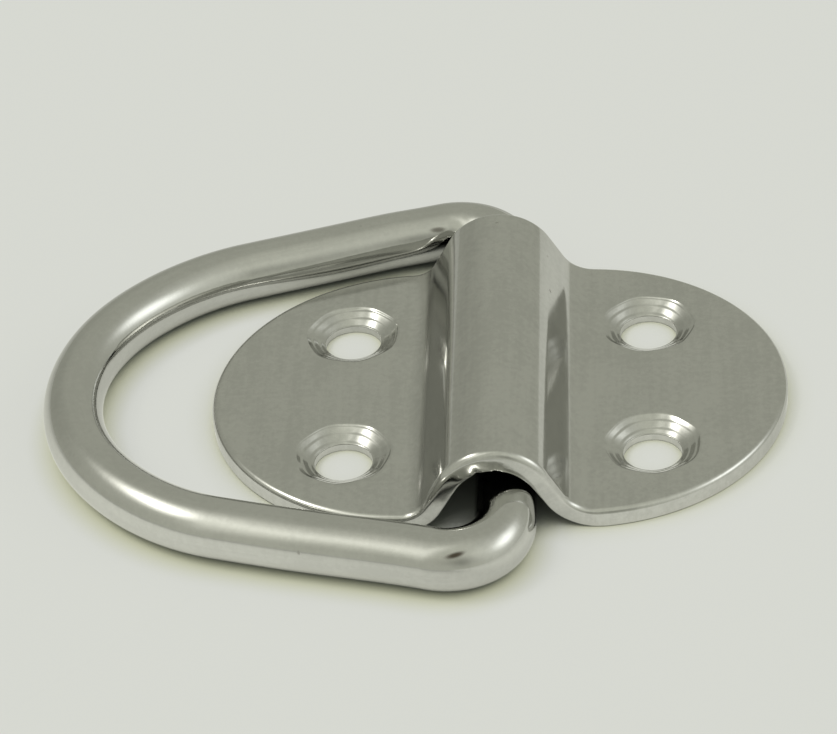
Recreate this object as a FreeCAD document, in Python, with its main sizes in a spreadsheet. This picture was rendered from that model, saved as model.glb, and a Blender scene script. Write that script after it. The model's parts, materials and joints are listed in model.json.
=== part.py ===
"""Folding pad eye: a pressed plate with a saddle across its middle, and a D-ring that swings in it.

Frame: millimetres, +Z up off the deck. The origin is the middle of the screw pattern, on the deck
plane. X runs along the plate, and the saddle's tunnel runs along Y. The ring lies folded towards -X.
"""

import FreeCAD, Part
import math
import os

import Sketcher

# Driving dimensions: name, value in millimetres or degrees, what it is
DIMENSIONS = (
    ("plate_length", 58.0, "plate, over both round ends"),
    ("plate_width", 41.0, "plate, and the diameter of its round ends"),
    ("sheet_thickness", 2.0, "pressed sheet"),
    ("trim_allowance", 3.0, "blank left round the plate before it is trimmed"),
    ("tunnel_side_play", 1.0, "tunnel radius less the bar's radius"),
    ("tunnel_head_play", 1.4, "tunnel height less the bar's diameter"),
    ("flank_angle", 60.0, "slope of the saddle's straight flanks"),
    ("foot_radius", 3.8, "hollow round between flank and plate, on the top face"),
    ("hole_spacing_long", 30.5, "screw holes, along the plate"),
    ("hole_spacing_wide", 20.0, "screw holes, across the plate"),
    ("hole_diameter", 5.8, "clearance hole for a 5 mm countersunk screw"),
    ("countersink_diameter", 9.4, "countersink at the top face, before its rim is broken"),
    ("countersink_angle", 118.0, "countersink, full angle"),
    ("rim_break", 0.25, "broken edge on each countersink's rim"),
    ("top_round", 0.5, "polished round along the plate's upper edge"),
    ("under_break", 0.25, "broken edge along the plate's underside"),
    ("bar_diameter", 6.0, "round bar of the ring"),
    ("seat_gap", 0.3, "bar to the tunnel flank that it is drawn against"),
    ("ring_end_gap", 1.5, "straight bar beyond each side of the plate"),
    ("ring_slide", 0.9, "ring slid this far along its tunnel, towards -Y"),
    ("ring_corner_radius", 5.7, "bend between bar and leg, on the centre line"),
    ("ring_leg_angle", 16.3, "each leg leans in by this angle"),
    ("ring_eye_gap", 10.9, "clear eye between the plate's end and the bow"),
)

# Sizes that follow from the driving dimensions, as expressions of the sheet
TUNNEL_RADIUS = "(sizes.bar_diameter / 2 + sizes.tunnel_side_play)"
TUNNEL_HEIGHT = "(sizes.bar_diameter + sizes.tunnel_head_play)"
SEAT_SHIFT = (
    "((sizes.tunnel_side_play - sizes.seat_gap) + (sizes.tunnel_head_play - sizes.tunnel_side_play)"
    " * cos(sizes.flank_angle * 1deg)) / sin(sizes.flank_angle * 1deg)"
)
CONE_RISE = "tan(90deg - sizes.countersink_angle / 2 * 1deg)"
RING_REACH = f"(sizes.plate_length / 2 + {SEAT_SHIFT} + sizes.ring_eye_gap + sizes.bar_diameter / 2)"

# A skin leans at least this far from upright; a face that only touches a wall in a smooth line doesn't
SKIN_LEAN = 0.1

# The sketcher's own numbers: the points of an edge count from 1, and a sketch's axes from -1
START, END, CENTRE = range(1, 4)
HORIZONTAL_AXIS, VERTICAL_AXIS = -1, -2
ORIGIN_POINT = (HORIZONTAL_AXIS, START)


def make_sheet(doc):
    """The spreadsheet of driving dimensions; returns their values by name."""
    sheet = doc.addObject("Spreadsheet::Sheet", "sizes")
    for row, (name, value, meaning) in enumerate(DIMENSIONS, start=1):
        sheet.set(f"A{row}", name)
        sheet.set(f"B{row}", str(value))
        sheet.set(f"C{row}", meaning)
        sheet.setAlias(f"B{row}", name)
    doc.recompute()
    return {name: float(sheet.get(name)) for name, _, _ in DIMENSIONS}


def origin_item(body, role):
    """One of the body's own origin planes or axes, such as XY_Plane."""
    return next(item for item in body.Origin.OriginFeatures if item.Role == role)


def new_sketch(body, name, role):
    """An empty sketch on one of the body's origin planes."""
    sketch = body.newObject("Sketcher::SketchObject", name)
    sketch.AttachmentSupport = [(origin_item(body, role), "")]
    sketch.MapMode = "FlatFace"
    return sketch


def line(start, end):
    """A straight edge between two points of a sketch."""
    return Part.LineSegment(FreeCAD.Vector(*start, 0), FreeCAD.Vector(*end, 0))


def arc(centre, radius, first_degrees, last_degrees):
    """A counter-clockwise arc of a sketch."""
    circle = Part.Circle(FreeCAD.Vector(*centre, 0), FreeCAD.Vector(0, 0, 1), radius)
    return Part.ArcOfCircle(circle, math.radians(first_degrees), math.radians(last_degrees))


def polar(centre, radius, degrees):
    """The point of a circle at an angle."""
    turn = math.radians(degrees)
    return (centre[0] + radius * math.cos(turn), centre[1] + radius * math.sin(turn))


def constrain(sketch, kind, *numbers):
    """Adds one geometric constraint."""
    sketch.addConstraint(Sketcher.Constraint(kind, *numbers))


def drive(sketch, kind, numbers, value, expression):
    """Adds one dimension and binds it to the sheet."""
    index = sketch.addConstraint(Sketcher.Constraint(kind, *numbers, value))
    sketch.setExpression(f"Constraints[{index}]", expression)


def section_sketch(body, size):
    """Half the bent sheet's section, seen along Y: crown, straight flank, foot and flat."""
    sketch = new_sketch(body, "sheet_section", "XZ_Plane")
    thickness = size["sheet_thickness"]
    slope = size["flank_angle"]
    inner = size["bar_diameter"] / 2 + size["tunnel_side_play"]
    outer = inner + thickness
    height = size["bar_diameter"] + size["tunnel_head_play"]
    upper_foot = size["foot_radius"]
    lower_foot = upper_foot + thickness
    half_blank = size["plate_length"] / 2 + size["trim_allowance"]
    crown = (0.0, height - inner)
    crown_end = polar(crown, inner, 90 - slope)
    drop = crown_end[1] - lower_foot * (1 - math.cos(math.radians(slope)))
    foot_x = crown_end[0] + drop / math.tan(math.radians(slope)) + lower_foot * math.sin(math.radians(slope))
    foot = (foot_x, lower_foot)
    steep = 270 - slope

    sketch.addGeometry(arc(crown, inner, 90 - slope, 90), False)
    sketch.addGeometry(arc(crown, outer, 90 - slope, 90), False)
    sketch.addGeometry(line(crown_end, polar(foot, lower_foot, steep)), False)
    sketch.addGeometry(line(polar(crown, outer, 90 - slope), polar(foot, upper_foot, steep)), False)
    sketch.addGeometry(arc(foot, lower_foot, steep, 270), False)
    sketch.addGeometry(arc(foot, upper_foot, steep, 270), False)
    sketch.addGeometry(line((foot_x, 0), (half_blank, 0)), False)
    sketch.addGeometry(line((foot_x, thickness), (half_blank, thickness)), False)
    sketch.addGeometry(line((half_blank, 0), (half_blank, thickness)), False)
    sketch.addGeometry(line((0, height), (0, height + thickness)), False)
    under_crown, over_crown, under_flank, over_flank, under_foot, over_foot = range(6)
    under_flat, over_flat, end_line, middle_line = range(6, 10)

    for lower, upper in ((under_crown, over_crown), (under_foot, over_foot)):
        constrain(sketch, "Coincident", lower, CENTRE, upper, CENTRE)
    constrain(sketch, "PointOnObject", under_crown, CENTRE, VERTICAL_AXIS)
    for crown_arc, flank, foot_arc, flat in (
        (under_crown, under_flank, under_foot, under_flat),
        (over_crown, over_flank, over_foot, over_flat),
    ):
        constrain(sketch, "Tangent", crown_arc, START, flank, START)
        constrain(sketch, "Tangent", flank, END, foot_arc, START)
        constrain(sketch, "Tangent", foot_arc, END, flat, START)
        constrain(sketch, "Horizontal", flat)
    constrain(sketch, "Coincident", under_crown, END, middle_line, START)
    constrain(sketch, "Coincident", over_crown, END, middle_line, END)
    constrain(sketch, "PointOnObject", middle_line, START, VERTICAL_AXIS)
    constrain(sketch, "PointOnObject", middle_line, END, VERTICAL_AXIS)
    constrain(sketch, "Coincident", under_flat, END, end_line, START)
    constrain(sketch, "Coincident", over_flat, END, end_line, END)
    constrain(sketch, "Vertical", end_line)
    constrain(sketch, "PointOnObject", under_flat, START, HORIZONTAL_AXIS)
    drive(sketch, "Radius", (under_crown,), inner, TUNNEL_RADIUS)
    drive(sketch, "Radius", (over_foot,), upper_foot, "sizes.foot_radius")
    drive(sketch, "DistanceY", (*ORIGIN_POINT, under_crown, END), height, TUNNEL_HEIGHT)
    drive(sketch, "DistanceY", (middle_line, START, middle_line, END), thickness, "sizes.sheet_thickness")
    drive(sketch, "DistanceY", (end_line, START, end_line, END), thickness, "sizes.sheet_thickness")
    drive(sketch, "DistanceX", (*ORIGIN_POINT, end_line, START), half_blank,
          "sizes.plate_length / 2 + sizes.trim_allowance")
    drive(sketch, "Angle", (under_flat, START, under_flank, END), math.radians(180 - slope),
          "(180 - sizes.flank_angle) * 1deg")
    return sketch


def outline_sketch(body, size):
    """The plate's outline, two round ends joined by straight sides, inside the blank's edge."""
    sketch = new_sketch(body, "plate_outline", "XY_Plane")
    end_radius = size["plate_width"] / 2
    end_centre = size["plate_length"] / 2 - end_radius
    blank_x = size["plate_length"] / 2 + 2 * size["trim_allowance"]
    blank_y = end_radius + 2 * size["trim_allowance"]

    sketch.addGeometry(arc((end_centre, 0), end_radius, -90, 90), False)
    sketch.addGeometry(line((end_centre, end_radius), (-end_centre, end_radius)), False)
    sketch.addGeometry(arc((-end_centre, 0), end_radius, 90, 270), False)
    sketch.addGeometry(line((-end_centre, -end_radius), (end_centre, -end_radius)), False)
    right_end, far_side, left_end, near_side = range(4)
    constrain(sketch, "Tangent", right_end, END, far_side, START)
    constrain(sketch, "Tangent", far_side, END, left_end, START)
    constrain(sketch, "Tangent", left_end, END, near_side, START)
    constrain(sketch, "Tangent", near_side, END, right_end, START)
    constrain(sketch, "Horizontal", far_side)
    constrain(sketch, "PointOnObject", right_end, CENTRE, HORIZONTAL_AXIS)
    constrain(sketch, "Symmetric", right_end, CENTRE, left_end, CENTRE, *ORIGIN_POINT)
    drive(sketch, "Radius", (right_end,), end_radius, "sizes.plate_width / 2")
    drive(sketch, "DistanceX", (*ORIGIN_POINT, right_end, CENTRE), end_centre,
          "(sizes.plate_length - sizes.plate_width) / 2")

    corners = [(blank_x, blank_y), (-blank_x, blank_y), (-blank_x, -blank_y), (blank_x, -blank_y)]
    first = near_side + 1
    for index, corner in enumerate(corners):
        sketch.addGeometry(line(corner, corners[(index + 1) % 4]), False)
    for index in range(4):
        constrain(sketch, "Coincident", first + index, END, first + (index + 1) % 4, START)
        constrain(sketch, "Vertical" if index % 2 else "Horizontal", first + index)
    constrain(sketch, "Symmetric", first, START, first + 1, END, *ORIGIN_POINT)
    drive(sketch, "DistanceX", (*ORIGIN_POINT, first, START), blank_x,
          "sizes.plate_length / 2 + 2 * sizes.trim_allowance")
    drive(sketch, "DistanceY", (*ORIGIN_POINT, first, START), blank_y,
          "sizes.plate_width / 2 + 2 * sizes.trim_allowance")
    return sketch


def screw_section(body, size):
    """Half the section of one screw's seat: clearance hole, countersink and broken rim, cut from above."""
    sketch = new_sketch(body, "screw_section", "XZ_Plane")
    sketch.setExpression(".AttachmentOffset.Base.x", "-sizes.hole_spacing_long / 2 * 1mm")
    sketch.setExpression(".AttachmentOffset.Base.z", "sizes.hole_spacing_wide / 2 * 1mm")
    hole = size["hole_diameter"] / 2
    cone = size["countersink_diameter"] / 2
    rim = size["rim_break"]
    top = size["sheet_thickness"]
    rise = 1 / math.tan(math.radians(size["countersink_angle"] / 2))
    tunnel = size["bar_diameter"] + size["tunnel_head_play"]
    corners = (
        ((0, -top), "0", "-sizes.sheet_thickness"),
        ((hole, -top), "sizes.hole_diameter / 2", "-sizes.sheet_thickness"),
        ((hole, top - (cone - hole) * rise), "sizes.hole_diameter / 2",
         f"sizes.sheet_thickness - (sizes.countersink_diameter - sizes.hole_diameter) / 2 * {CONE_RISE}"),
        ((cone - rim, top - rim * rise), "sizes.countersink_diameter / 2 - sizes.rim_break",
         f"sizes.sheet_thickness - sizes.rim_break * {CONE_RISE}"),
        ((cone + rim, top), "sizes.countersink_diameter / 2 + sizes.rim_break", "sizes.sheet_thickness"),
        ((cone + rim, top + tunnel), "sizes.countersink_diameter / 2 + sizes.rim_break",
         f"sizes.sheet_thickness + {TUNNEL_HEIGHT}"),
        ((0, top + tunnel), "0", f"sizes.sheet_thickness + {TUNNEL_HEIGHT}"),
    )
    count = len(corners)
    for index, (point, _, _) in enumerate(corners):
        sketch.addGeometry(line(point, corners[(index + 1) % count][0]), False)
    for index, (point, out_by, up_by) in enumerate(corners):
        constrain(sketch, "Coincident", index, END, (index + 1) % count, START)
        if point[0] == 0:
            constrain(sketch, "PointOnObject", index, START, VERTICAL_AXIS)
        else:
            drive(sketch, "DistanceX", (*ORIGIN_POINT, index, START), point[0], out_by)
        drive(sketch, "DistanceY", (*ORIGIN_POINT, index, START), point[1], up_by)
    return sketch


def cut_screw_seats(body, size):
    """One screw seat turned about its own axis, and the pattern of four that starts from it."""
    section = screw_section(body, size)
    seat = body.newObject("PartDesign::Groove", "screw_seat")
    seat.Profile = section
    seat.ReferenceAxis = (section, ["V_Axis"])
    seat.Angle = 360
    body.Document.recompute()

    pattern = body.newObject("PartDesign::LinearPattern", "screw_pattern")
    pattern.Originals = [seat]
    pattern.Direction = (origin_item(body, "X_Axis"), [""])
    pattern.Occurrences = 2
    pattern.setExpression("Length", "sizes.hole_spacing_long")
    pattern.Direction2 = (origin_item(body, "Y_Axis"), [""])
    pattern.Occurrences2 = 2
    pattern.setExpression("Length2", "sizes.hole_spacing_wide")
    body.Tip = pattern
    body.Document.recompute()
    return pattern


def is_trimmed_wall(face, size):
    """True for the upright faces left by the trimming: round ends and flat sides."""
    half_width = size["plate_width"] / 2
    surface = face.Surface
    if isinstance(surface, Part.Cylinder):
        return abs(surface.Axis.z) > 0.99 and abs(surface.Radius - half_width) < 1e-4
    if isinstance(surface, Part.Plane):
        return abs(surface.Axis.y) > 0.99 and abs(abs(face.CenterOfMass.y) - half_width) < 1e-4
    return False


def outward_normal(face, point):
    """The face's outward direction at a point on it."""
    u, v = face.Surface.parameter(point)
    return face.normalAt(u, v)


def outline_edges(shape, size, upper):
    """Names of the edges where the trimmed walls meet the sheet's upper or lower skin."""
    names = []
    for index, edge in enumerate(shape.Edges, start=1):
        faces = shape.ancestorsOfType(edge, Part.Face)
        skins = [face for face in faces if not is_trimmed_wall(face, size)]
        if len(skins) != 1 or len(faces) != 2:
            continue
        middle = edge.valueAt((edge.FirstParameter + edge.LastParameter) / 2)
        rise = outward_normal(skins[0], middle).z
        if (rise if upper else -rise) > SKIN_LEAN:
            names.append(f"Edge{index}")
    return names


def dress_edges(body, name, base, edges, kind, expression):
    """A fillet or a chamfer on named edges of the feature before it."""
    dressed = body.newObject(f"PartDesign::{kind}", name)
    dressed.Base = (base, edges)
    dressed.setExpression("Radius" if kind == "Fillet" else "Size", expression)
    body.Document.recompute()
    return dressed


def make_plate(doc, size):
    """The plate: half the bent sheet is padded and mirrored, trimmed to the outline and drilled."""
    body = doc.addObject("PartDesign::Body", "base_plate")
    body.Label = "base_plate"
    half = body.newObject("PartDesign::Pad", "half_blank")
    half.Profile = section_sketch(body, size)
    half.SideType = "Symmetric"
    half.setExpression("Length", "sizes.plate_width + 2 * sizes.trim_allowance")

    blank = body.newObject("PartDesign::Mirrored", "blank")
    blank.Originals = [half]
    blank.MirrorPlane = (origin_item(body, "YZ_Plane"), [""])
    body.Tip = blank
    doc.recompute()

    trimmed = body.newObject("PartDesign::Pocket", "trimmed")
    trimmed.Profile = outline_sketch(body, size)
    trimmed.SideType = "Symmetric"
    trimmed.Type = "ThroughAll"
    doc.recompute()

    drilled = cut_screw_seats(body, size)
    over = outline_edges(drilled.Shape, size, True)
    upper = dress_edges(body, "upper_edge", drilled, over, "Fillet", "sizes.top_round")
    under = outline_edges(upper.Shape, size, False)
    dress_edges(body, "lower_edge", upper, under, "Chamfer", "sizes.under_break")
    return body


def ring_line_sketch(body, size):
    """The ring's centre line, seen from above: bar, two corners, two legs and the bow."""
    sketch = new_sketch(body, "ring_line", "XY_Plane")
    sketch.setExpression(".AttachmentOffset.Base.x", f"{SEAT_SHIFT} * 1mm")
    sketch.setExpression(".AttachmentOffset.Base.y", "-sizes.ring_slide * 1mm")
    sketch.setExpression(".AttachmentOffset.Base.z", "sizes.bar_diameter / 2 * 1mm")
    lean = math.radians(size["ring_leg_angle"])
    slope = math.radians(size["flank_angle"])
    play = size["tunnel_side_play"]
    shift = (play - size["seat_gap"] + (size["tunnel_head_play"] - play) * math.cos(slope)) / math.sin(slope)
    straight = size["plate_width"] / 2 + size["ring_end_gap"]
    corner_radius = size["ring_corner_radius"]
    reach = size["plate_length"] / 2 + shift + size["ring_eye_gap"] + size["bar_diameter"] / 2
    turn = 90 + size["ring_leg_angle"]
    half_width = straight + corner_radius * math.tan(math.radians(turn / 2))
    bow_radius = (half_width * math.cos(lean) - reach * math.sin(lean)) / (1 - math.sin(lean))
    corner = (-corner_radius, straight)
    bow = (bow_radius - reach, 0)
    corner_end = polar(corner, corner_radius, turn)
    bow_start = polar(bow, bow_radius, turn)
    low_corner = (corner[0], -corner[1])

    sketch.addGeometry(line((0, 0), (0, straight)), False)
    sketch.addGeometry(arc(corner, corner_radius, 0, turn), False)
    sketch.addGeometry(line(corner_end, bow_start), False)
    sketch.addGeometry(arc(bow, bow_radius, turn, 180), False)
    sketch.addGeometry(arc(bow, bow_radius, 180, 360 - turn), False)
    sketch.addGeometry(line((bow_start[0], -bow_start[1]), (corner_end[0], -corner_end[1])), False)
    sketch.addGeometry(arc(low_corner, corner_radius, 360 - turn, 360), False)
    sketch.addGeometry(line((0, -straight), (0, 0)), False)
    far_bar, far_corner, far_leg, far_bow, near_bow, near_leg, near_corner, near_bar = range(8)

    constrain(sketch, "Coincident", far_bar, START, *ORIGIN_POINT)
    constrain(sketch, "Coincident", near_bar, END, *ORIGIN_POINT)
    constrain(sketch, "PointOnObject", far_bar, END, VERTICAL_AXIS)
    for before, after in ((far_bar, far_corner), (far_corner, far_leg), (far_leg, far_bow),
                          (near_bow, near_leg), (near_leg, near_corner), (near_corner, near_bar)):
        constrain(sketch, "Tangent", before, END, after, START)
    constrain(sketch, "Coincident", far_bow, END, near_bow, START)
    constrain(sketch, "Coincident", far_bow, CENTRE, near_bow, CENTRE)
    constrain(sketch, "PointOnObject", far_bow, CENTRE, HORIZONTAL_AXIS)
    constrain(sketch, "PointOnObject", far_bow, END, HORIZONTAL_AXIS)
    constrain(sketch, "Symmetric", far_bar, END, near_bar, START, *ORIGIN_POINT)
    constrain(sketch, "Equal", far_corner, near_corner)
    drive(sketch, "DistanceY", (*ORIGIN_POINT, far_bar, END), straight,
          "sizes.plate_width / 2 + sizes.ring_end_gap")
    drive(sketch, "Radius", (far_corner,), corner_radius, "sizes.ring_corner_radius")
    drive(sketch, "DistanceX", (far_bow, END, *ORIGIN_POINT), reach, RING_REACH)
    drive(sketch, "Angle", (far_leg,), math.radians(180 + size["ring_leg_angle"]),
          "(180 + sizes.ring_leg_angle) * 1deg")
    return sketch


def bar_sketch(body, size):
    """The round bar's section, across the middle of the ring's straight bar."""
    sketch = new_sketch(body, "bar_section", "XZ_Plane")
    sketch.setExpression(".AttachmentOffset.Base.x", f"{SEAT_SHIFT} * 1mm")
    sketch.setExpression(".AttachmentOffset.Base.y", "sizes.bar_diameter / 2 * 1mm")
    sketch.setExpression(".AttachmentOffset.Base.z", "sizes.ring_slide * 1mm")
    circle = Part.Circle(FreeCAD.Vector(0, 0, 0), FreeCAD.Vector(0, 0, 1), size["bar_diameter"] / 2)
    sketch.addGeometry(circle, False)
    constrain(sketch, "Coincident", 0, CENTRE, *ORIGIN_POINT)
    drive(sketch, "Radius", (0,), size["bar_diameter"] / 2, "sizes.bar_diameter / 2")
    return sketch


def make_ring(doc, size):
    """The D-ring: one round bar swept round a closed line, its weld hidden in the tunnel."""
    body = doc.addObject("PartDesign::Body", "d_ring")
    body.Label = "d_ring"
    route = ring_line_sketch(body, size)
    ring = body.newObject("PartDesign::AdditivePipe", "bent_bar")
    ring.Profile = bar_sketch(body, size)
    doc.recompute()
    ring.Spine = (route, [f"Edge{number}" for number in range(1, route.GeometryCount + 1)])
    ring.Mode = "Frenet"
    doc.recompute()
    return body


def check_document(doc, bodies):
    """Stops the build where a feature failed or a piece isn't one valid solid."""
    for item in doc.Objects:
        if "Invalid" in item.State or "Error" in item.State:
            raise RuntimeError(f"{item.Name} failed: {item.State}")
    for body in bodies:
        shape = body.Shape
        if shape.isNull() or not shape.isValid() or len(shape.Solids) != 1:
            raise RuntimeError(f"{body.Label} isn't one valid solid")


def main():
    doc = FreeCAD.newDocument("folding_pad_eye")
    size = make_sheet(doc)
    bodies = [make_plate(doc, size), make_ring(doc, size)]
    check_document(doc, bodies)
    os.makedirs("parts", exist_ok=True)
    for body in bodies:
        body.Shape.exportStep(f"parts/{body.Label}.step")
        print(body.Label, "volume", round(body.Shape.Volume, 1), "mm3")


main()
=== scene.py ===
"""Folding pad eye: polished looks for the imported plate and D-ring, with the studio round them."""

from collections import namedtuple
import json
import math

import bpy
import numpy as np
from mathutils import Matrix, Vector


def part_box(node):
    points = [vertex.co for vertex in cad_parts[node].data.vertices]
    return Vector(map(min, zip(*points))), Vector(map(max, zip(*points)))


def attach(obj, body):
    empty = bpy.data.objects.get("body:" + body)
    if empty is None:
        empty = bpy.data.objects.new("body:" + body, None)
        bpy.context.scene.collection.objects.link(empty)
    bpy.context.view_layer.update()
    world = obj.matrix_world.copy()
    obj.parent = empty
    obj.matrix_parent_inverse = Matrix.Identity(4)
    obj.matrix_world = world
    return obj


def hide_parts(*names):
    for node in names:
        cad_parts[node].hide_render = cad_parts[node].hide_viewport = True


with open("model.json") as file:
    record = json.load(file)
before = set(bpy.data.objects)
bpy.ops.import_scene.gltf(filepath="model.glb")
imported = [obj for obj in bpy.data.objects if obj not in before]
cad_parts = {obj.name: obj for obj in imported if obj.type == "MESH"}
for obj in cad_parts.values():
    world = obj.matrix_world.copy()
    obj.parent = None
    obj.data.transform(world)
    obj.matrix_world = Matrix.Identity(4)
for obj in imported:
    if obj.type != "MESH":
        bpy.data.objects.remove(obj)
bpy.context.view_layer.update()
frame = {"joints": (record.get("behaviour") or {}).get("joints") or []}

bl_info = {
    "name": "Folding Pad Eye",
    "version": (1, 0, 0),
    "blender": (4, 5, 0),
    "location": "View3D > Sidebar > Pad Eye",
    "description": "Builds the polished plate and ring of a folding pad eye, and its studio",
    "category": "Add Mesh",
}

PLATE_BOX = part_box("base_plate")
RING_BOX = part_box("d_ring")
HINGE = frame["joints"][0]["pos_m"]
# The bar lies on the deck, so its centre line stands as high as its radius
BAR_RADIUS = HINGE[2]
WELD_DISTANCE = 1e-8


# Properties

class PadEyePlate(bpy.types.PropertyGroup):
    """Sizes of the pressed plate."""

    length: bpy.props.FloatProperty(
        name="Length", description="Plate, over both round ends", unit="LENGTH",
        default=PLATE_BOX[1].x - PLATE_BOX[0].x, precision=5)
    width: bpy.props.FloatProperty(
        name="Width", description="Plate, and the diameter of its round ends", unit="LENGTH",
        default=0.041, precision=5)
    height: bpy.props.FloatProperty(
        name="Height", description="Top of the saddle above the deck", unit="LENGTH",
        default=PLATE_BOX[1].z, precision=5)
    sheet: bpy.props.FloatProperty(
        name="Sheet", description="Thickness of the pressed sheet", unit="LENGTH",
        default=0.002, precision=5)
    tunnel_radius: bpy.props.FloatProperty(
        name="Tunnel Radius", description="Inside radius of the saddle's crown", unit="LENGTH",
        default=0.004, precision=5)
    left_foot: bpy.props.FloatProperty(
        name="Left Foot", description="Hollow round between left flank and plate, on the top face",
        unit="LENGTH", default=0.0024, precision=5)
    right_foot: bpy.props.FloatProperty(
        name="Right Foot", description="Hollow round between right flank and plate, on the top face",
        unit="LENGTH", default=0.0036, precision=5)
    flank_angle: bpy.props.FloatProperty(
        name="Flank Angle", description="Slope of the saddle's straight flanks", unit="ROTATION",
        default=math.radians(60))
    top_round: bpy.props.FloatProperty(
        name="Top Round", description="Polished round along the upper edge", unit="LENGTH",
        default=0.00068, precision=5)
    under_break: bpy.props.FloatProperty(
        name="Under Break", description="Broken edge along the underside", unit="LENGTH",
        default=0.00025, precision=5)
    saddle_break: bpy.props.FloatProperty(
        name="Saddle Break", description="Broken edge under both ends of the saddle's crown",
        unit="LENGTH", default=0.00045, precision=5)
    lip: bpy.props.FloatProperty(
        name="Lip", description="How far bending has squeezed the saddle's under edge out at both ends",
        unit="LENGTH", default=0.00025, precision=5)
    holes_along: bpy.props.FloatProperty(
        name="Holes Along", description="Screw holes' spacing along the plate", unit="LENGTH",
        default=0.0305, precision=5)
    holes_across: bpy.props.FloatProperty(
        name="Holes Across", description="Screw holes' spacing across the plate", unit="LENGTH",
        default=0.02, precision=5)
    hole: bpy.props.FloatProperty(
        name="Hole", description="Diameter of the clearance holes", unit="LENGTH",
        default=0.0058, precision=5)
    countersink: bpy.props.FloatProperty(
        name="Countersink", description="Diameter at the top face, before its rim is broken",
        unit="LENGTH", default=0.0097, precision=5)
    countersink_angle: bpy.props.FloatProperty(
        name="Countersink Angle", description="Full angle of the countersink", unit="ROTATION",
        default=math.radians(118))
    rim_break: bpy.props.FloatProperty(
        name="Rim Break", description="Broken edge on each countersink's rim", unit="LENGTH",
        default=0.0001, precision=5)
    tool_marks: bpy.props.FloatProperty(
        name="Tool Marks", description="Depth of the turned steps in the countersinks",
        unit="LENGTH", default=0.00006, precision=6)
    chatter: bpy.props.FloatProperty(
        name="Chatter", description="How far the cutter's chatter waves each countersink's rim",
        unit="LENGTH", default=0.00008, precision=6)
    unevenness: bpy.props.FloatProperty(
        name="Unevenness", description="How far the polished skin strays from flat",
        unit="LENGTH", default=0.00001, precision=6)


class PadEyeRing(bpy.types.PropertyGroup):
    """Sizes of the D-ring."""

    bar: bpy.props.FloatProperty(
        name="Bar", description="Diameter of the round bar", unit="LENGTH",
        default=2 * BAR_RADIUS, precision=5)
    straight: bpy.props.FloatProperty(
        name="Straight", description="Half the straight part of the bar in the tunnel",
        unit="LENGTH", default=0.022, precision=5)
    corner_radius: bpy.props.FloatProperty(
        name="Corner Radius", description="Bend between bar and leg, on the centre line",
        unit="LENGTH", default=0.0057, precision=5)
    leg_angle: bpy.props.FloatProperty(
        name="Leg Angle", description="Each leg leans in by this angle", unit="ROTATION",
        default=math.radians(16.3))
    reach: bpy.props.FloatProperty(
        name="Reach", description="From the bar's centre line to the bow's", unit="LENGTH",
        default=HINGE[0] - RING_BOX[0].x - BAR_RADIUS, precision=5)
    unevenness: bpy.props.FloatProperty(
        name="Unevenness", description="How far the polished bar strays from round",
        unit="LENGTH", default=0.00002, precision=6)


class PadEyeSteel(bpy.types.PropertyGroup):
    """Finish of the stainless steel."""

    colour: bpy.props.FloatVectorProperty(
        name="Colour", description="Stainless steel, polished", subtype="COLOR",
        size=3, min=0, max=1, default=(0.565, 0.565, 0.545))
    plate_roughness: bpy.props.FloatProperty(
        name="Plate Roughness", description="Roughness of the plate's polish", min=0, max=1,
        default=0.11)
    ring_roughness: bpy.props.FloatProperty(
        name="Ring Roughness", description="Roughness of the ring's polish", min=0, max=1,
        default=0.09)


class PadEyeStudio(bpy.types.PropertyGroup):
    """Floor, soft boxes and room."""

    floor_colour: bpy.props.FloatVectorProperty(
        name="Floor", description="Plain pale floor", subtype="COLOR",
        size=3, min=0, max=1, default=(0.7, 0.712, 0.677))
    floor_glow: bpy.props.FloatProperty(
        name="Floor Glow", description="Share of the floor's colour that no shadow darkens",
        min=0, max=1, default=0.75)
    room_colour: bpy.props.FloatVectorProperty(
        name="Room", description="Grey of the room behind the object", subtype="COLOR",
        size=3, min=0, max=1, default=(0.5, 0.511, 0.433))
    left_box: bpy.props.FloatProperty(
        name="Left Box", description="Brightness of the left soft box", min=0, default=16)
    right_box: bpy.props.FloatProperty(
        name="Right Box", description="Brightness of the right soft box", min=0, default=1.25)


# Shader expressions

class Socket:
    """A shader socket that Python's operators extend, each with one Math node."""

    def __init__(self, graph, socket):
        self.graph = graph
        self.socket = socket

    def math(self, operation, *others):
        """A Math node of this socket and the others, in that order."""
        settings = {"operation": operation}
        return self.graph.add("ShaderNodeMath", settings, dict(enumerate((self, *others))))

    def __add__(self, other):
        return self.math("ADD", other)

    def __radd__(self, other):
        return self.math("ADD", other)

    def __sub__(self, other):
        return self.math("SUBTRACT", other)

    def __rsub__(self, other):
        return self.graph.add("ShaderNodeMath", {"operation": "SUBTRACT"}, {0: other, 1: self})

    def __mul__(self, other):
        return self.math("MULTIPLY", other)

    def __rmul__(self, other):
        return self.math("MULTIPLY", other)

    def __truediv__(self, other):
        return self.math("DIVIDE", other)


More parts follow.
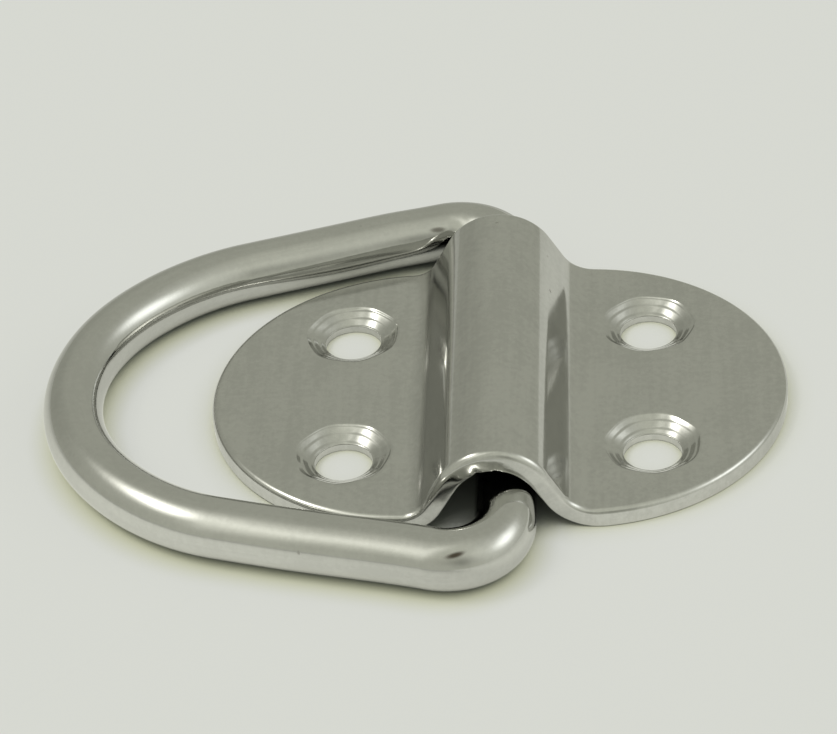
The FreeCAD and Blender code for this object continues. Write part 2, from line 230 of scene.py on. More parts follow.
class Graph:
    """A node tree that is written as expressions."""

    def __init__(self, tree):
        self.tree = tree
        tree.nodes.clear()

    def add(self, kind, settings=None, inputs=None, output=0):
        """Adds a node: its settings first, then its sockets' values or links; returns one output."""
        node = self.tree.nodes.new(kind)
        for name, value in (settings or {}).items():
            setattr(node, name, value)
        for key, value in (inputs or {}).items():
            if isinstance(value, Socket):
                self.tree.links.new(value.socket, node.inputs[key])
            else:
                node.inputs[key].default_value = value
        return Socket(self, node.outputs[output]) if node.outputs else node

    def step(self, value, low, high):
        """Rises smoothly from 0 to 1 as the value goes from low to high."""
        settings = {"interpolation_type": "SMOOTHSTEP"}
        return self.add("ShaderNodeMapRange", settings, {0: value, 1: low, 2: high})

    def mix(self, factor, first, second):
        """A colour between two others."""
        settings = {"data_type": "RGBA"}
        return self.add("ShaderNodeMix", settings, {0: factor, 6: first, 7: second}, output=2)

    def noise(self, vector, scale, detail=2.0, roughness=0.5):
        """Fractal noise between 0 and 1."""
        inputs = {"Vector": vector, "Scale": scale, "Detail": detail, "Roughness": roughness}
        return self.add("ShaderNodeTexNoise", None, inputs)

    def dot(self, vector, axis):
        """The vector's length along an axis."""
        settings = {"operation": "DOT_PRODUCT"}
        return self.add("ShaderNodeVectorMath", settings, {0: vector, 1: axis}, output="Value")

    def stretched(self, vector, scale):
        """The vector with each part scaled by its own amount."""
        settings = {"operation": "MULTIPLY"}
        return self.add("ShaderNodeVectorMath", settings, {0: vector, 1: scale})


# Dark colour of the pits, and of the painted dark reflections at the ring's corners
DARK_PIT_AND_REFLECTION_COLOUR = (0.09, 0.075, 0.06, 1.0)
CLOUD_SCALE = 160.0
MOTTLE_SCALE = 1500.0
FINE_SCALE = 2600.0
SPECK_SCALE = 900.0
BUMP_STRENGTH = 0.08
BUMP_DISTANCE = 0.0001
EDGE_TINT = (0.84, 0.84, 0.84, 1.0)

# A mark on the surface: its middle, half sizes and tilt, how much its colour is painted darker, and how
# much it dulls
Mark = namedtuple("Mark", "along around length width tilt stain dull")


def opaque(colour):
    """A colour with full alpha."""
    return tuple(colour) + (1.0,)


def tinted(colour, tint):
    """A colour times a tint, part by part, with full alpha."""
    return opaque(part * share for part, share in zip(colour, tint))


def mark_mask(graph, place, mark):
    """1 over a long mark on the surface and 0 off it: exp(-(along^2 + across^2)^2), turned by its tilt."""
    along = graph.dot(place, (1, 0, 0)) - mark.along
    around = graph.dot(place, (0, 1, 0)) - mark.around
    turn, tip = math.cos(mark.tilt), math.sin(mark.tilt)
    lengthwise = (along * turn + around * tip) / mark.length
    crosswise = (around * turn - along * tip) / mark.width
    reach = lengthwise * lengthwise + crosswise * crosswise
    return (0 - reach * reach).math("EXPONENT")


def steel_material(name, colour, roughness, grain, marks=(), mottling=0.1):
    """Polished stainless steel: lines along the piece, faint mottling, a few pits, and marks that dull the
    polish and may carry a painted dark reflection.
    """
    material = bpy.data.materials.new(name)
    material.use_nodes = True
    graph = Graph(material.node_tree)
    place = graph.add("ShaderNodeTexCoord", None, None, output="UV")
    solid = graph.add("ShaderNodeTexCoord", None, None, output="Object")
    lines = graph.noise(graph.stretched(place, grain), 1.0, 4.0, 0.6)
    clouds = graph.noise(solid, CLOUD_SCALE, 3.0, 0.55)
    mottle = graph.noise(solid, MOTTLE_SCALE, 3.0, 0.7)
    fine = graph.noise(solid, FINE_SCALE, 2.0, 0.6)
    speck = graph.noise(solid, SPECK_SCALE, 0.0)
    pits = graph.step(speck, 0.86, 0.89)

    gloss = roughness + 0.05 * (clouds - 0.5) + 0.05 * (lines - 0.5) + 0.25 * pits
    dark = opaque((1 - mottling) * part for part in colour)
    tone = 0.3 * clouds + 0.3 * lines + 0.4 * mottle
    base = graph.mix(graph.step(tone, 0.41, 0.59), dark, opaque(colour))
    base = graph.mix(0.3 * pits, base, DARK_PIT_AND_REFLECTION_COLOUR)
    for mark in marks:
        # Each mark dulls the polish; where a mark also darkens the colour, that is a painted dark
        # reflection
        stain = mark_mask(graph, place, mark)
        base = graph.mix(stain * mark.stain, base, DARK_PIT_AND_REFLECTION_COLOUR)
        gloss = gloss + stain * mark.dull
    height = 0.6 * lines + 0.4 * fine
    relief = graph.add("ShaderNodeBump", None, {
        "Strength": BUMP_STRENGTH, "Distance": BUMP_DISTANCE, "Height": height})
    shader = graph.add("ShaderNodeBsdfPrincipled", None, {
        "Base Color": base, "Metallic": 1.0, "Roughness": gloss, "Normal": relief,
        "Specular Tint": EDGE_TINT})
    graph.add("ShaderNodeOutputMaterial", None, {"Surface": shader})
    return material


# Surfaces

def grid_faces(rows, columns, flip=False):
    """Quads between neighbouring points of a rows by columns grid."""
    corner = (np.arange(rows - 1)[:, None] * columns + np.arange(columns - 1)[None, :]).ravel()
    quads = np.stack([corner, corner + columns, corner + columns + 1, corner + 1], axis=1)
    return quads[:, ::-1] if flip else quads


def join_grids(grids):
    """Points, faces and surface coordinates of several grids, welded where their points meet."""
    points, faces, places, count = [], [], [], 0
    for grid, place, flip in grids:
        rows, columns = grid.shape[:2]
        faces.append(grid_faces(rows, columns, flip) + count)
        points.append(grid.reshape(-1, 3))
        places.append(place.reshape(-1, 2))
        count += rows * columns
    points, faces, places = np.vstack(points), np.vstack(faces), np.vstack(places)
    keys = np.round(points / WELD_DISTANCE).astype(np.int64)
    _, first, shared = np.unique(keys, axis=0, return_index=True, return_inverse=True)
    return points[first], shared.ravel()[faces], places[faces]


def make_piece(name, grids, material):
    """A mesh object of welded grids, smooth, with the surface coordinates as its UV map."""
    points, faces, places = join_grids(grids)
    mesh = bpy.data.meshes.new(name)
    mesh.from_pydata(points, [], faces)
    layer = mesh.uv_layers.new(name="surface")
    layer.data.foreach_set("uv", places.reshape(-1, 2).ravel())
    mesh.shade_smooth()
    mesh.update()
    piece = bpy.data.objects.new(name, mesh)
    piece.data.materials.append(material)
    bpy.context.scene.collection.objects.link(piece)
    return piece


def ripple(first, second, waves):
    """A sum of long sine waves over two surface lengths, between -1 and 0."""
    total = np.zeros(np.broadcast(first, second).shape)
    for along, across, phase in waves:
        total = total + np.sin(2 * math.pi * (first / along + second / across) + phase)
    return (total / len(waves) - 1) / 2


PLATE_WAVES = ((0.021, 0.055, 0.4), (-0.034, 0.016, 2.1), (0.013, -0.027, 4.4), (0.047, 0.011, 5.2))
RING_WAVES = ((0.0147, 1.0, 0.3), (-0.0313, 1.0, 1.9), (0.0086, 0.5, 3.7), (0.023, -1.0, 5.5))


TABLE_POINTS = 4001
FOOT_FADE = 0.001


def ease(value, low, high):
    """Rises smoothly from 0 to 1 as the value goes from low to high."""
    share = np.clip((value - low) / (high - low), 0, 1)
    return share * share * (3 - 2 * share)


class BentSheet:
    """The plate as a sheet: lengths along its bent section and across it, and depth under its skin."""

    def __init__(self, sizes, foot):
        self.sizes = sizes
        slope = sizes.flank_angle
        self.slope = slope
        self.crown = sizes.tunnel_radius + sizes.sheet
        self.crown_z = sizes.height - self.crown
        self.foot = foot
        self.foot_z = sizes.sheet + self.foot
        flank_top = (self.crown * math.sin(slope), self.crown_z + self.crown * math.cos(slope))
        flank_foot_z = self.foot_z - self.foot * math.cos(slope)
        flank = (flank_top[1] - flank_foot_z) / math.sin(slope)
        self.foot_x = flank_top[0] + flank * math.cos(slope) + self.foot * math.sin(slope)
        self.to_flank = self.crown * slope
        self.to_foot = self.to_flank + flank
        self.to_flat = self.to_foot + self.foot * slope
        self.mid_foot = (self.to_foot + self.to_flat) / 2

    def section(self, along):
        """The skin's x, z and outward direction.

        The crown is an arc turned through the slope, then comes a straight flank, then the hollow
        foot, an arc turned back by the same slope, and then the flat.
        """
        side = np.sign(along)
        reach = np.abs(along)
        turn = np.clip(reach / self.crown, 0, self.slope)
        on_flank = np.clip(reach - self.to_flank, 0, self.to_foot - self.to_flank)
        back = np.clip((reach - self.to_foot) / self.foot, 0, self.slope)
        on_flat = np.clip(reach - self.to_flat, 0, None)
        lean = turn - back
        x = self.crown * np.sin(turn) + on_flank * math.cos(self.slope)
        x = x + self.foot * (math.sin(self.slope) - np.sin(self.slope - back)) + on_flat
        z = self.crown_z + self.crown * np.cos(turn) - on_flank * math.sin(self.slope)
        z = z - self.foot * (np.cos(self.slope - back) - math.cos(self.slope))
        return side * x, z, side * np.sin(lean), np.cos(lean)

    def along_of(self, x):
        """The length along the skin at which it stands at x, from a dense table of the section."""
        table = np.linspace(0, self.to_flat, TABLE_POINTS)
        over = np.clip(x - self.foot_x, 0, None)
        return np.interp(np.clip(x, 0, self.foot_x), self.section(table)[0], table) + over

    def bends(self, along):
        """Shares of the crown's bend and of the foot's bend at a length along the skin."""
        reach = np.abs(along)
        mid_flank = (self.to_flank + self.to_foot) / 2
        crown = 1 - ease(reach, 0.7 * self.to_flank, mid_flank)
        foot = ease(reach, mid_flank, self.mid_foot)
        foot = foot * (1 - ease(reach, self.mid_foot, self.to_flat + FOOT_FADE))
        return crown, foot

    def place(self, along, across, depth):
        """Points at a depth under the skin, which itself is sunk by a slight unevenness."""
        x, z, out_x, out_z = self.section(along)
        fade = np.clip(1 - depth / self.sizes.sheet, 0, 1)
        level = self.sizes.unevenness * ripple(along, across, PLATE_WAVES) * fade - depth
        return np.stack(np.broadcast_arrays(x + out_x * level, across, z + out_z * level), axis=-1)


def arc_points(radius, first, last, count):
    """Points of an arc about the origin: radius times (cos turn, sin turn)."""
    turn = np.linspace(first, last, count)
    return radius * np.cos(turn), radius * np.sin(turn)


BAND_WIDTH = 0.0012
ROUND_POINTS = 13
BREAK_POINTS = 8


def edge_profile(sizes, under_break):
    """The rim's section, as distance in from the outline and depth: skin, round, wall, break, underside."""
    round_in, round_up = arc_points(sizes.top_round, math.pi / 2, math.pi, ROUND_POINTS)
    round_in = sizes.top_round + round_in
    round_depth = sizes.top_round - round_up
    under_in, under_up = arc_points(under_break, math.pi, 1.5 * math.pi, BREAK_POINTS)
    under_in = under_break + under_in
    under_depth = sizes.sheet - under_break - under_up
    skin = np.linspace(BAND_WIDTH, sizes.top_round, 4)[:-1]
    wall = np.linspace(sizes.top_round, sizes.sheet - under_break, 5)[1:-1]
    below = np.linspace(under_break, BAND_WIDTH, 4)[1:]
    inward = np.concatenate([skin, round_in, 0 * wall, under_in, below])
    depth = np.concatenate([0 * skin, round_depth, wall, under_depth, 0 * below + sizes.sheet])
    return inward, depth


CONE_ROWS = 57
TOOL_STEPS = 2.6
RISER = 0.4
CHATTER_LOBES = 7


def screw_seat(sizes, angle, turned):
    """The screw seat as radius and depth at each angle: broken rim, cone, then the clearance hole.

    The tool has left a spiral of shallow steps on the cone: the phase rises down the cone and once a turn,
    and each step's depth is the phase's fraction, less a smooth riser over the last part of it. Chatter
    makes the rim slightly lobed, as chatter sin(lobes angle + a twist down the cone), fading to the hole.
    """
    rise = 1 / math.tan(sizes.countersink_angle / 2)
    hole = sizes.hole / 2
    cone = sizes.countersink / 2
    rim = sizes.rim_break
    down = np.linspace(0, 1, CONE_ROWS)
    radius = cone - rim + (hole - cone + rim) * down
    depth = (rim + (cone - rim - hole) * down) * rise
    phase = (TOOL_STEPS * down ** 0.85 + (angle + turned) / (2 * math.pi)) % 1
    tread = (phase - ease(phase, 1 - RISER, 1)) * ease(down, 0, 0.08) * ease(1 - down, 0, 0.08)
    strength = 0.6 + 0.4 * np.sin(angle + turned) ** 2
    cone_depth = depth + sizes.tool_marks * strength * tread
    rim_radius = np.linspace(cone + rim, cone - rim, 4)[:-1]
    rim_depth = np.linspace(0, rim * rise, 4)[:-1]
    wall = np.linspace(depth[-1], sizes.sheet, 6)[1:]
    radius = np.concatenate([rim_radius, radius, 0 * wall + hole])
    fade = (radius - hole) / (radius[0] - hole)
    chatter = sizes.chatter * fade * np.sin(CHATTER_LOBES * angle + 3 * turned + 3 * fade)
    ones = np.ones_like(angle)
    return radius + chatter, np.concatenate([ones * rim_depth, cone_depth, ones * wall], axis=1)


SADDLE_POINTS = 90
OUTLINE_STEPS = 80
MIDDLE_STEPS = 30
SEAM_STEPS = 30
SPREAD_ROWS = 12


def quarter_outline(sheet, sizes):
    """A quarter of the outline in sheet lengths, its inward direction, and its count of saddle points."""
    end = sizes.width / 2
    centre = sizes.length / 2 - end
    saddle = np.linspace(0, sheet.to_flat, SADDLE_POINTS)
    x = sheet.section(saddle)[0]
    start = math.acos(max(0.0, (x[-1] - centre) / end))
    turn = np.linspace(start, 0, OUTLINE_STEPS + 1)[1:]
    x = np.concatenate([x, centre + end * np.cos(turn)])
    lean = np.clip((x - centre) / end, 0, 1)
    y = end * np.sqrt(1 - lean ** 2)
    along = np.concatenate([saddle, sheet.along_of(centre + end * np.cos(turn))])
    return along, y, -lean, -np.sqrt(1 - lean ** 2), len(saddle)


# Each nick: its place along the near edge, its reach and its depth
NEAR_NICKS = ((-0.0023, 0.0005, 0.00016), (0.0004, 0.0003, 0.0001), (0.0010, 0.00025, 0.00007))


def rim_band(sheet, sizes, along, side_x, side_y):
    """How far in and how deep the rim's section stands at each place along the outline.

    Bending squeezes the sheet's end out on the inside of each bend and draws it in on the outside. The
    under edge of the near end has a few nicks, each a bell curve along the edge.
    """
    inward, depth = edge_profile(sizes, sizes.under_break)
    full_inward, full_depth = edge_profile(sizes, sizes.saddle_break)
    crown, foot = (share[:, None] for share in sheet.bends(along))
    inward = inward + crown * (full_inward - inward)
    depth = depth + crown * (full_depth - depth)
    fade = (1 - inward / BAND_WIDTH) ** 2
    low = depth / sizes.sheet
    squeezed = sizes.lip * (crown - foot) * (1.3 * low - 0.3) * fade
    thicker = sizes.lip * crown * low ** 2 * fade
    nicked = 0
    if side_y < 0:
        for place, width, cut in NEAR_NICKS:
            bell = np.exp(-((side_x * along[:, None] - place) / width) ** 2)
            nicked = nicked + cut * bell * low ** 4 * fade
    return inward - squeezed + nicked, depth + thicker - nicked


def plate_quarter(sheet, sizes, side_x, side_y):
    """Grids of one quarter of the plate: rim band, saddle, flat and screw seat, above and below."""
    along, across, in_along, in_across, split = quarter_outline(sheet, sizes)
    mirrored = side_x * side_y < 0
    grids = []

    def add(grid_along, grid_across, depth, flip):
        grid_along, grid_across, depth = np.broadcast_arrays(grid_along, grid_across, depth)
        points = sheet.place(side_x * grid_along, side_y * grid_across, depth)
        coordinates = np.stack([side_x * grid_along, side_y * grid_across], axis=-1)
        grids.append((points, coordinates, flip == mirrored))

    inward, depth = rim_band(sheet, sizes, along, side_x, side_y)
    add(along[:, None] + in_along[:, None] * inward, across[:, None] + in_across[:, None] * inward,
        depth, True)

    inner_along = along + in_along * BAND_WIDTH
    inner_across = across + in_across * BAND_WIDTH
    share = np.linspace(0, 1, SEAM_STEPS + 1)
    for level, flip in ((0.0, True), (sizes.sheet, False)):
        add(inner_along[:split, None], inner_across[:split, None] * share, level, flip)

    seam = inner_along[split - 1]
    seam_across = inner_across[split - 1] * share
    middle = np.linspace(inner_along[-1], seam, MIDDLE_STEPS + 1)
    loop_along = np.concatenate([inner_along[split - 1:], middle[1:], np.full(SEAM_STEPS, seam)])
    loop_across = np.concatenate([inner_across[split - 1:], np.zeros(MIDDLE_STEPS), seam_across[1:]])
    hole_along = sheet.to_flat + sizes.holes_along / 2 - sheet.foot_x
    hole_across = sizes.holes_across / 2
    gap_along = loop_along - hole_along
    gap_across = loop_across - hole_across
    gap = np.hypot(gap_along, gap_across)
    away_along, away_across = (gap_along / gap)[:, None], (gap_across / gap)[:, None]

    angle = np.arctan2(gap_across, gap_along)[:, None]
    radius, seat_depth = screw_seat(sizes, angle, 1.1 * side_x + 0.6 * side_y)
    add(hole_along + away_along * radius, hole_across + away_across * radius, seat_depth, False)
    spread = np.linspace(0, 1, SPREAD_ROWS)
    for rim, level, flip in ((radius[:, :1], 0.0, True), (radius[:, -1:], sizes.sheet, False)):
        reach = rim + (gap[:, None] - rim) * spread
        add(hole_along + away_along * reach, hole_across + away_across * reach, level, flip)
    return grids


BAR_POINTS = 50
CORNER_POINTS = 60
LEG_POINTS = 74
BOW_POINTS = 180
RING_SIDES = 96


def ring_line(sizes):
    """Half the ring's centre line from the bar's middle: bar, corner, leg and bow, with their headings."""
    lean = sizes.leg_angle
    turn = math.pi / 2 + lean
    corner = sizes.corner_radius
    half_width = sizes.straight + corner * math.tan(turn / 2)
    bow = (half_width * math.cos(lean) - sizes.reach * math.sin(lean)) / (1 - math.sin(lean))
    bow_x = bow - sizes.reach
    straight_t = np.linspace(0, sizes.straight, BAR_POINTS)
    corner_t = np.linspace(0, turn, CORNER_POINTS)[1:]
    bow_t = np.linspace(turn, math.pi, BOW_POINTS)
    corner_end = np.array([-corner + corner * math.cos(turn), sizes.straight + corner * math.sin(turn)])
    bow_start = np.array([bow_x + bow * math.cos(turn), bow * math.sin(turn)])
    leg_t = np.linspace(0, 1, LEG_POINTS)[1:-1, None]
    line = np.concatenate([
        np.stack([0 * straight_t, straight_t], axis=1),
        np.stack([-corner + corner * np.cos(corner_t), sizes.straight + corner * np.sin(corner_t)], axis=1),
        corner_end + (bow_start - corner_end) * leg_t,
        np.stack([bow_x + bow * np.cos(bow_t), bow * np.sin(bow_t)], axis=1),
    ])
    heading = np.concatenate([0 * straight_t, corner_t, np.full(len(leg_t), turn), bow_t])
    return line, heading


def hand_bend(travelled):
    """How far out the bent bar strays from its plan: a sum of bell curves along it.

    Each bend has its place, its reach before and after that, and how far out it goes.
    """
    total = travelled[-1]
    bends = (
        (0.0314, 0.004, 0.004, -0.00001),
        (0.0385, 0.0033, 0.006, 0.0002),
        (0.062, 0.009, 0.009, -0.0003),
        (total - 0.066, 0.010, 0.010, -0.0003),
        (total - 0.0335, 0.0105, 0.0055, -0.00055),
    )
    strays = 0
    for place, before, after, out in bends:
        length = np.where(travelled < place, before, after)
        strays = strays + out * np.exp(-((travelled - place) / length) ** 2)
    return strays


def corner_dark_reflections(total):
    """Dark spots at both corners, painted dark reflections that also dull the polish, in surface lengths.
    """
    return (
        Mark(along=total - 0.03, around=0.00244, length=0.0007, width=0.00025, tilt=0.26,
             stain=1.0, dull=0.25),
        Mark(along=total - 0.0306, around=0.0021, length=0.0013, width=0.0005, tilt=0.1,
             stain=0.16, dull=0.1),
        Mark(along=0.0336, around=0.0073, length=0.0008, width=0.00028, tilt=-0.1,
             stain=0.7, dull=0.25),
    )


def ring_grid(sizes):
    """The bar's circle carried along the centre line: point = line + radius (cos a outward + sin a up)."""
    line, heading = ring_line(sizes)
    line = np.concatenate([line, line[-2::-1] * (1, -1)])
    heading = np.concatenate([heading, 2 * math.pi - heading[-2::-1]])
    outward = np.stack([np.cos(heading), np.sin(heading)], axis=1)
    steps = np.hypot(*np.diff(line, axis=0).T)
    travelled = np.concatenate([[0], np.cumsum(steps)])
    line = line + hand_bend(travelled)[:, None] * outward
    angle = np.linspace(0, 2 * math.pi, RING_SIDES + 1)
    around = angle * sizes.bar / 2
    turns = angle[None, :] / (2 * math.pi)
    radius = sizes.bar / 2 + sizes.unevenness * ripple(travelled[:, None], turns, RING_WAVES)
    radius[-1] = radius[0]
    flat = line[:, None, :] + radius[..., None] * np.cos(angle)[None, :, None] * outward[:, None, :]
    rise = radius * np.sin(angle)
    points = np.concatenate([flat, rise[..., None]], axis=-1) + np.array(HINGE)
    places = np.stack(np.broadcast_arrays(travelled[:, None], around[None, :]), axis=-1)
    return points, places, False


# Operators

PLATE_GRAIN = (900, 60, 1)
RING_GRAIN = (50, 1300, 1)
LEFT_DULL = 0.14
RIGHT_DULL = 0.06


class PADEYE_OT_plate(bpy.types.Operator):
    """Build the pressed plate with its saddle and screw seats"""

    bl_idname = "pad_eye.plate"
    bl_label = "Plate"

    def execute(self, context):
        sizes = context.scene.pad_eye_plate
        steel = context.scene.pad_eye_steel
        grids, corners = [], []
        for side_x, foot, dull in ((1, sizes.right_foot, RIGHT_DULL), (-1, sizes.left_foot, LEFT_DULL)):
            sheet = BentSheet(sizes, foot)
            corners.append(Mark(along=side_x * sheet.mid_foot, around=0.0, length=0.0015, width=1.0,
                                tilt=0.0, stain=0.0, dull=dull))
            for side_y in (1, -1):
                grids += plate_quarter(sheet, sizes, side_x, side_y)
        material = steel_material("plate_steel", steel.colour, steel.plate_roughness, PLATE_GRAIN, corners)
        plate = make_piece("pressed_plate", grids, material)
        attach(plate, "base")
        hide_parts("base_plate")
        return {"FINISHED"}


class PADEYE_OT_ring(bpy.types.Operator):
    """Build the D-ring in its folded place"""

    bl_idname = "pad_eye.ring"
    bl_label = "Ring"

    def execute(self, context):
        steel = context.scene.pad_eye_steel
        grid = ring_grid(context.scene.pad_eye_ring)
        marks = corner_dark_reflections(float(grid[1][..., 0].max()))
        material = steel_material("ring_steel", steel.colour, steel.ring_roughness, RING_GRAIN, marks,
                                  mottling=0.06)
        ring = make_piece("folding_ring", [grid], material)
        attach(ring, "ring")
        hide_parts("d_ring")
        return {"FINISHED"}


CAMERA_AZIMUTH = math.radians(4.8087)
CAMERA_ELEVATION = math.radians(36.37)
CAMERA_ROLL = math.radians(-4.8626)
CAMERA_DISTANCE = 0.341364
CAMERA_SIDE = -0.00786
CAMERA_RISE = 0.00424
FOCAL_PIXELS = 3378.54
IMAGE_WIDTH = 837
SENSOR = 36.0


def direction(azimuth, elevation):
    """The unit vector from the object; azimuth 0 is away from the camera and 90 to the right."""
    flat = math.cos(elevation)
    return Vector((math.sin(azimuth) * flat, math.cos(azimuth) * flat, math.sin(elevation)))


def add_camera(scene):
    """The photograph's fitted camera, aimed at the origin and then shifted and rolled."""
    back = Vector((math.sin(CAMERA_AZIMUTH) * math.cos(CAMERA_ELEVATION),
                   -math.cos(CAMERA_AZIMUTH) * math.cos(CAMERA_ELEVATION),
                   math.sin(CAMERA_ELEVATION)))
    right = Vector((math.cos(CAMERA_AZIMUTH), math.sin(CAMERA_AZIMUTH), 0))
    up = back.cross(right)
    place = back * CAMERA_DISTANCE + right * CAMERA_SIDE + up * CAMERA_RISE
    turn, tip = math.cos(CAMERA_ROLL), math.sin(CAMERA_ROLL)
    axes = Matrix((right * turn + up * tip, up * turn - right * tip, back)).transposed()
    data = bpy.data.cameras.new("photo_camera")
    data.sensor_width = SENSOR
    data.lens = FOCAL_PIXELS / IMAGE_WIDTH * SENSOR
    data.clip_start, data.clip_end = 0.01, 100.0
    camera = bpy.data.objects.new("photo_camera", data)
    camera.matrix_world = Matrix.Translation(place) @ axes.to_4x4()
    scene.collection.objects.link(camera)
    scene.camera = camera


# Each soft box: azimuth, elevation and turn in degrees, width, height, and the edge's hardness if not 1
LEFT_LAMP = (-91, 53, 4, 0.12, 0.05)
LEFT_PANEL = (-91, 53, 4, 0.3, 0.187)
LEFT_HALO = (-91, 53, 4, 0.4, 0.6)
LEFT_STRIP = (-138, 56, 0, 0.13, 0.5)
RIGHT_PANEL = (90, 33, -6, 0.346, 0.23, 1.15)
RIGHT_HALO = (100, 28, 0, 0.78, 0.78)
FAR_SHADE = (-42, 14, 0, 0.5, 0.45)
NEAR_SHADE = (165, 28, 0, 0.25, 0.3)
LEFT_TINT = (1.0, 0.99, 0.92)
RIGHT_TINT = (0.99, 1.01, 1.0)


def soft_box(graph, view, azimuth, elevation, turn, width, height, edge=1.0):
    """A soft box's brightness by direction: exp(-((across / width)^2 + (up / height)^2)^edge).

    Across and up are the direction's coordinates on the plane at unit distance that faces the object.
    """
    away = direction(math.radians(azimuth), math.radians(elevation))
    level = Vector((math.cos(math.radians(azimuth)), -math.sin(math.radians(azimuth)), 0))
    upright = level.cross(away)
    across = level * math.cos(math.radians(turn)) + upright * math.sin(math.radians(turn))
    up = upright * math.cos(math.radians(turn)) - level * math.sin(math.radians(turn))
    front = graph.dot(view, away).math("MAXIMUM", 0.02)
    side = graph.dot(view, across) / front / width
    rise = graph.dot(view, up) / front / height
    return (0 - (side * side + rise * rise).math("POWER", edge)).math("EXPONENT")


def room_world(scene, studio):
    """A grey room with lamps on the left and right; the camera sees it as an even, pale backdrop.

    The room is brighter on the camera's side and dimmed in two places. Each side's lamps are a sum of
    soft boxes with one tint.
    """
    world = bpy.data.worlds.new("room")
    world.use_nodes = True
    graph = Graph(world.node_tree)
    view = graph.add("ShaderNodeTexCoord", None, None, output="Generated")
    ahead, up = graph.dot(view, (0, 1, 0)), graph.dot(view, (0, 0, 1))
    near = 1 - graph.step(ahead, -0.75, 0.35)
    level = 1 + near * (0.19 + 0.27 * graph.step(up, 0.3, 0.8)) + 0.15 * graph.step(up, 0.9, 1.0)
    level = level - 0.17 * soft_box(graph, view, *FAR_SHADE)
    level = level - 0.51 * soft_box(graph, view, *NEAR_SHADE)
    left = soft_box(graph, view, *LEFT_LAMP) * studio.left_box
    left = left + 2.85 * soft_box(graph, view, *LEFT_PANEL)
    left = left + 0.1 * soft_box(graph, view, *LEFT_HALO)
    left = left + 0.48 * soft_box(graph, view, *LEFT_STRIP)
    right = soft_box(graph, view, *RIGHT_PANEL) * studio.right_box
    right = right + 0.25 * soft_box(graph, view, *RIGHT_HALO)
    grey, left_light, right_light = (
        graph.add("ShaderNodeBackground", None, {"Color": opaque(tint), "Strength": strength})
        for tint, strength in ((studio.room_colour, level), (LEFT_TINT, left), (RIGHT_TINT, right)))
    lit = graph.add("ShaderNodeAddShader", None, {0: grey, 1: left_light})
    lit = graph.add("ShaderNodeAddShader", None, {0: lit, 1: right_light})
    backdrop = graph.add("ShaderNodeBackground", None, {"Color": opaque(studio.floor_colour)})
    seen = graph.add("ShaderNodeLightPath", None, None, output="Is Camera Ray")
    graph.add("ShaderNodeOutputWorld", None, {
        "Surface": graph.add("ShaderNodeMixShader", None, {0: seen, 1: lit, 2: backdrop})})
    scene.world = world


CLOSE_REACH = 0.003
DEEP_REACH = 0.03
# Where and how deeply shade is painted on the floor under the saddle's tunnel
TUNNEL_WIDTH = 0.008
TUNNEL_INNER = 0.0175
TUNNEL_OUTER = 0.0225
TUNNEL_SHADE = 0.6
FLOOR_HALF = 4.0
PAINTED_WARM_BOUNCE = (1.01, 1.0, 0.76)
SHADE_TINT = (0.35, 0.37, 0.37)
PAINTED_POOL_TINT = (1.52, 1.51, 1.43)


def floor_material(studio):
    """A matt floor, most of whose colour is steady for the camera and in reflections.

    The steady part fades close to the object, in its deep gaps and under the saddle, as painted shade
    that stands for the object's shadow; the matt colour is darker in the deep gaps, also painted shade,
    and warmer close to the object, painted light bounced from the steel. Mirrored in the steel, the
    floor's colour goes by its place, a painted pool of light: exp(-side^2 - rise^2) about the lit part
    of the table, and a step up on the right.
    """
    material = bpy.data.materials.new("pale_floor")
    material.use_nodes = True
    graph = Graph(material.node_tree)
    close, deep = (graph.add("ShaderNodeAmbientOcclusion", {"samples": 8}, {"Distance": reach}, output="AO")
                   for reach in (CLOSE_REACH, DEEP_REACH))
    plain = studio.floor_colour
    # Warmer colour close to the object: painted light bounced from the steel
    colour = graph.mix(graph.step(close, 0.1, 0.95), tinted(plain, PAINTED_WARM_BOUNCE), opaque(plain))
    # Darker matt colour in the deep gaps and under the saddle: painted shade
    matt = graph.add("ShaderNodeBsdfDiffuse", None, {
        "Color": graph.mix(graph.step(deep, 0.08, 0.4), tinted(plain, SHADE_TINT), colour)})
    place = graph.add("ShaderNodeTexCoord", None, None, output="Object")
    x, y = graph.dot(place, (1, 0, 0)), graph.dot(place, (0, 1, 0))
    # A painted pool of light on the floor, seen only in the steel's reflections, brighter on the right
    side, rise = (x + 0.045) / 0.06, (y + 0.022) / 0.042
    lit = 0.51 + 0.49 * (0 - side * side - rise * rise).math("EXPONENT") + 0.22 * graph.step(x, 0, 0.015)
    rays = [graph.add("ShaderNodeLightPath", None, None, output=name)
            for name in ("Is Camera Ray", "Is Glossy Ray", "Is Transmission Ray")]
    mirrored = graph.mix(lit, (0, 0, 0, 1), tinted(plain, PAINTED_POOL_TINT))
    steady = graph.add("ShaderNodeEmission", None, {"Color": graph.mix(rays[1], colour, mirrored)})
    share = rays[0].math("MAXIMUM", rays[1]).math("MAXIMUM", rays[2]) * studio.floor_glow
    # The glow fades close to the object: a painted contact shadow
    share = share * (close + 0.6 * rays[1]).math("MINIMUM", 1.0).math("POWER", 1.2)
    # Painted shade on the floor under the saddle, set by place
    across = x / TUNNEL_WIDTH
    painted_saddle_shade = (0 - across * across).math("EXPONENT") * graph.step(y, -TUNNEL_OUTER, -TUNNEL_INNER)
    painted_saddle_shade = painted_saddle_shade * (1 - graph.step(y, TUNNEL_INNER, TUNNEL_OUTER))
    share = share * graph.step(deep, 0.08, 0.47) * (1 - TUNNEL_SHADE * painted_saddle_shade)
    graph.add("ShaderNodeOutputMaterial", None, {
        "Surface": graph.add("ShaderNodeMixShader", None, {0: share, 1: matt, 2: steady})})
    return material


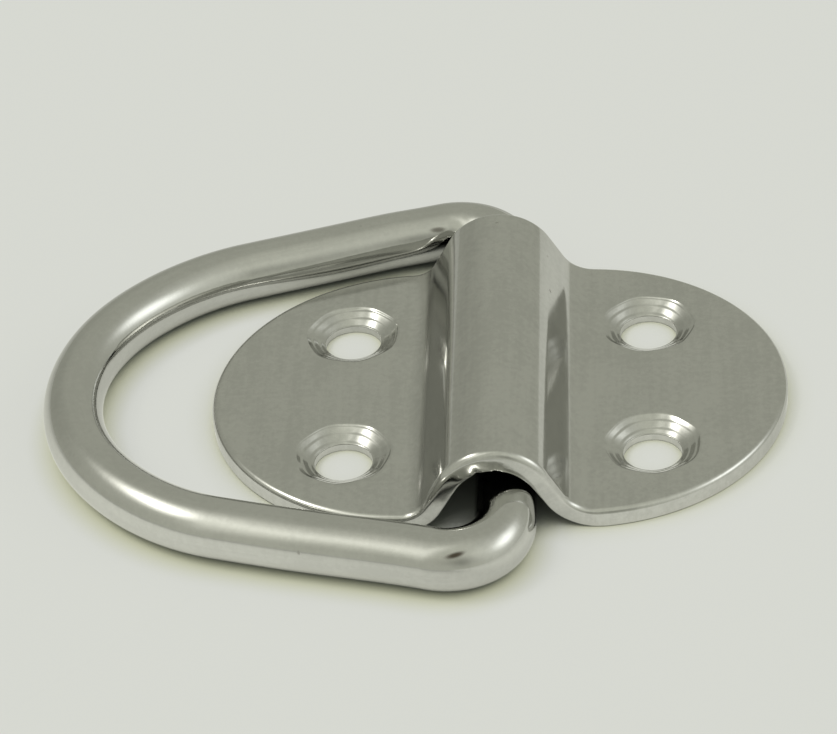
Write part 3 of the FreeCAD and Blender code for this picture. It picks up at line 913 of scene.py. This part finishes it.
class PADEYE_OT_studio(bpy.types.Operator):
    """Set up the floor, the soft lamps, the room and the camera"""

    bl_idname = "pad_eye.studio"
    bl_label = "Studio"

    def execute(self, context):
        scene = context.scene
        studio = scene.pad_eye_studio
        scene.view_settings.view_transform = "Standard"
        add_camera(scene)
        room_world(scene, studio)
        mesh = bpy.data.meshes.new("floor")
        half = FLOOR_HALF
        mesh.from_pydata([(-half, -half, 0), (half, -half, 0), (half, half, 0), (-half, half, 0)], [],
                         [(0, 1, 2, 3)])
        mesh.materials.append(floor_material(studio))
        floor = bpy.data.objects.new("floor", mesh)
        scene.collection.objects.link(floor)
        return {"FINISHED"}


class PADEYE_PT_panel(bpy.types.Panel):
    """Lists the sizes, the finish and the operators"""

    bl_idname = "PADEYE_PT_panel"
    bl_label = "Pad Eye"
    bl_space_type = "VIEW_3D"
    bl_region_type = "UI"
    bl_category = "Pad Eye"

    def draw(self, context):
        for group, operator in GROUPS.items():
            box = self.layout.box()
            settings = getattr(context.scene, group)
            for name in settings.bl_rna.properties.keys():
                if name not in ("rna_type", "name"):
                    box.prop(settings, name)
            if operator:
                box.operator(operator)


GROUPS = {
    "pad_eye_plate": "pad_eye.plate",
    "pad_eye_ring": "pad_eye.ring",
    "pad_eye_steel": "",
    "pad_eye_studio": "pad_eye.studio",
}
SETTINGS = {
    "pad_eye_plate": PadEyePlate,
    "pad_eye_ring": PadEyeRing,
    "pad_eye_steel": PadEyeSteel,
    "pad_eye_studio": PadEyeStudio,
}
CLASSES = (*SETTINGS.values(), PADEYE_OT_plate, PADEYE_OT_ring, PADEYE_OT_studio, PADEYE_PT_panel)


def register():
    for item in CLASSES:
        bpy.utils.register_class(item)
    for name, group in SETTINGS.items():
        setattr(bpy.types.Scene, name, bpy.props.PointerProperty(type=group))


def unregister():
    for name in SETTINGS:
        delattr(bpy.types.Scene, name)
    for item in reversed(CLASSES):
        bpy.utils.unregister_class(item)


def main():
    register()
    bpy.ops.pad_eye.studio()
    bpy.ops.pad_eye.plate()
    bpy.ops.pad_eye.ring()


if __name__ == "__main__":
    main()
